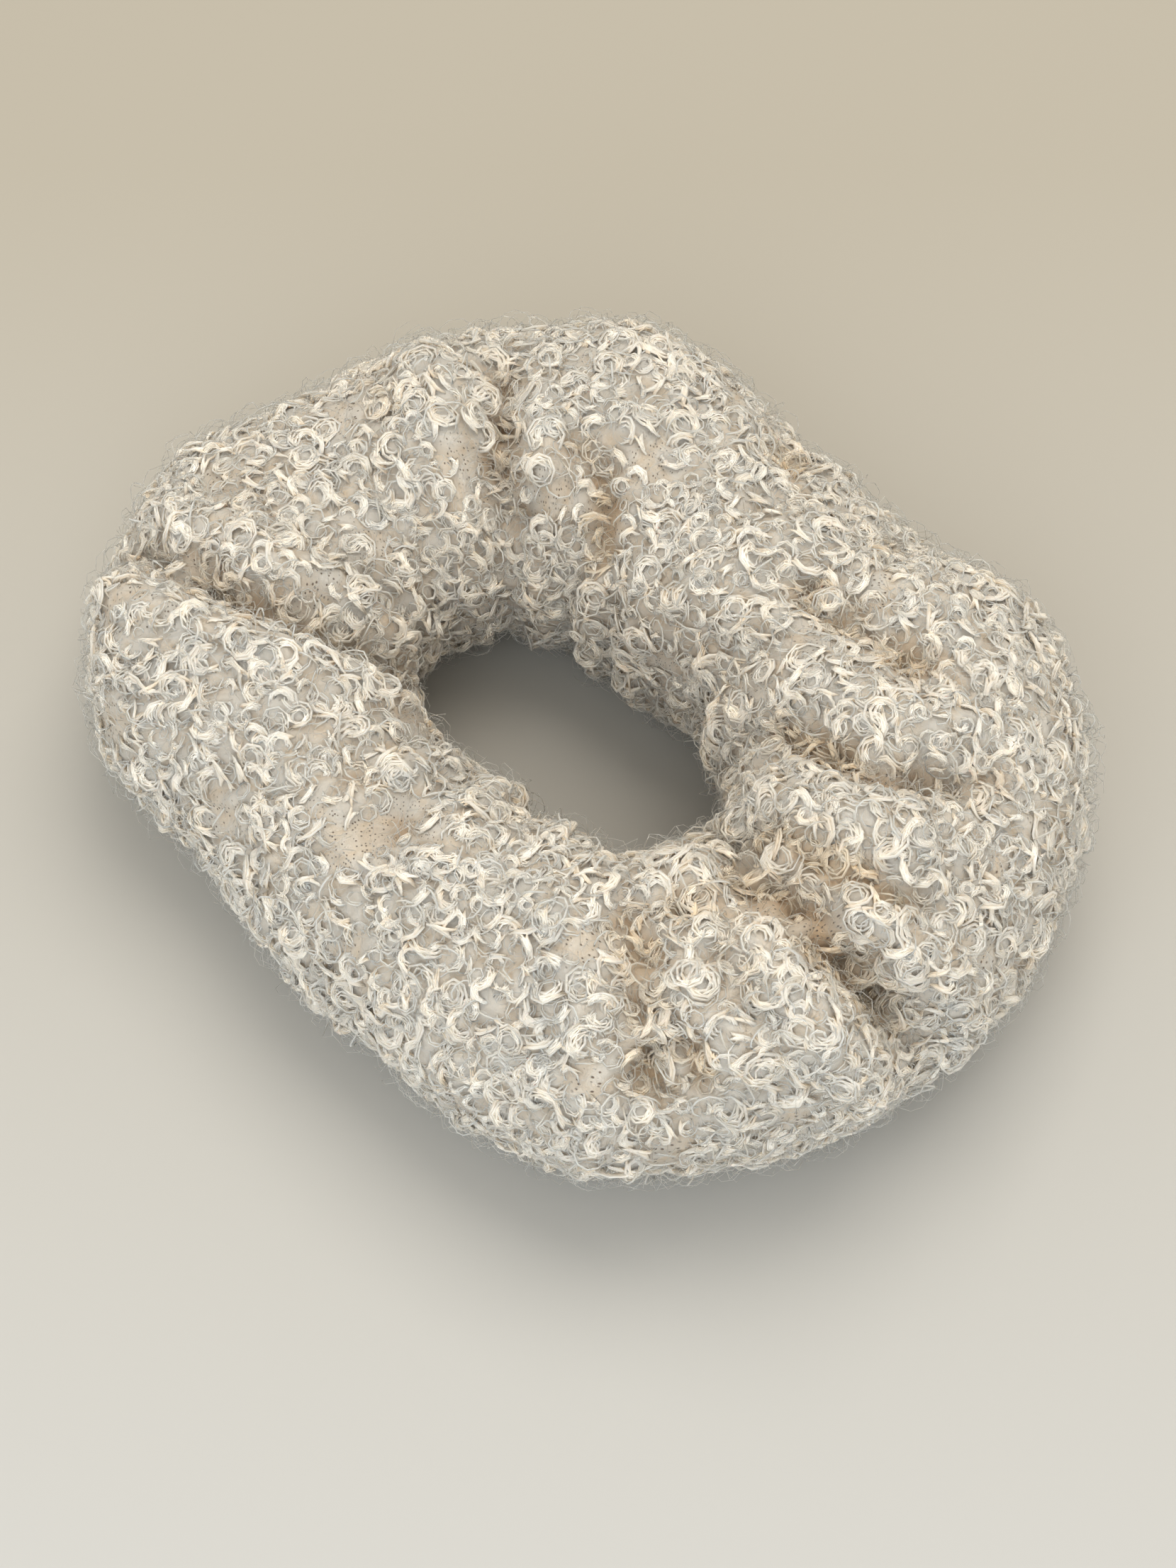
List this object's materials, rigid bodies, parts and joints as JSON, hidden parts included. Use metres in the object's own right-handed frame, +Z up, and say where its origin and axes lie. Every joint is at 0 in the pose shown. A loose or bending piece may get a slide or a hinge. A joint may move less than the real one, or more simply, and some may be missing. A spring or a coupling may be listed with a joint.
{
  "type": "hair scrunchie",
  "caption": "Plump hair scrunchie: a curly-pile knit tube gathered on a flat elastic loop, lying relaxed on its side, stretching open along X.",
  "frame": {"origin": "the middle of the ring's box in plan, on the surface it lies on", "axes": "+X along the ring's longest extent, which is also the way it stretches; +Z up, across the ring's flat side"},
  "size_m": [0.1368, 0.1313, 0.0469],
  "materials": {
    "curly_pile": "glossy cream curls on a knit backing",
    "elastic": "braided white elastic",
    "thread": "matte spun cream thread"
  },
  "bodies": {
    "left_side": {"cover_left": "curly_pile", "elastic_band": "elastic", "elastic_join_thread": "thread", "long_seam_thread": "thread", "closing_seam_thread": "thread"},
    "right_side": {"cover_right": "curly_pile"}
  },
  "joints": [
    {"name": "stretch", "type": "slide", "parent": "left_side", "child": "right_side", "axis": [1, 0, 0], "range_m": [0, 0.05], "stiffness_N_per_m": 80, "deforming": ["elastic_band", "long_seam_thread"]}
  ]
}
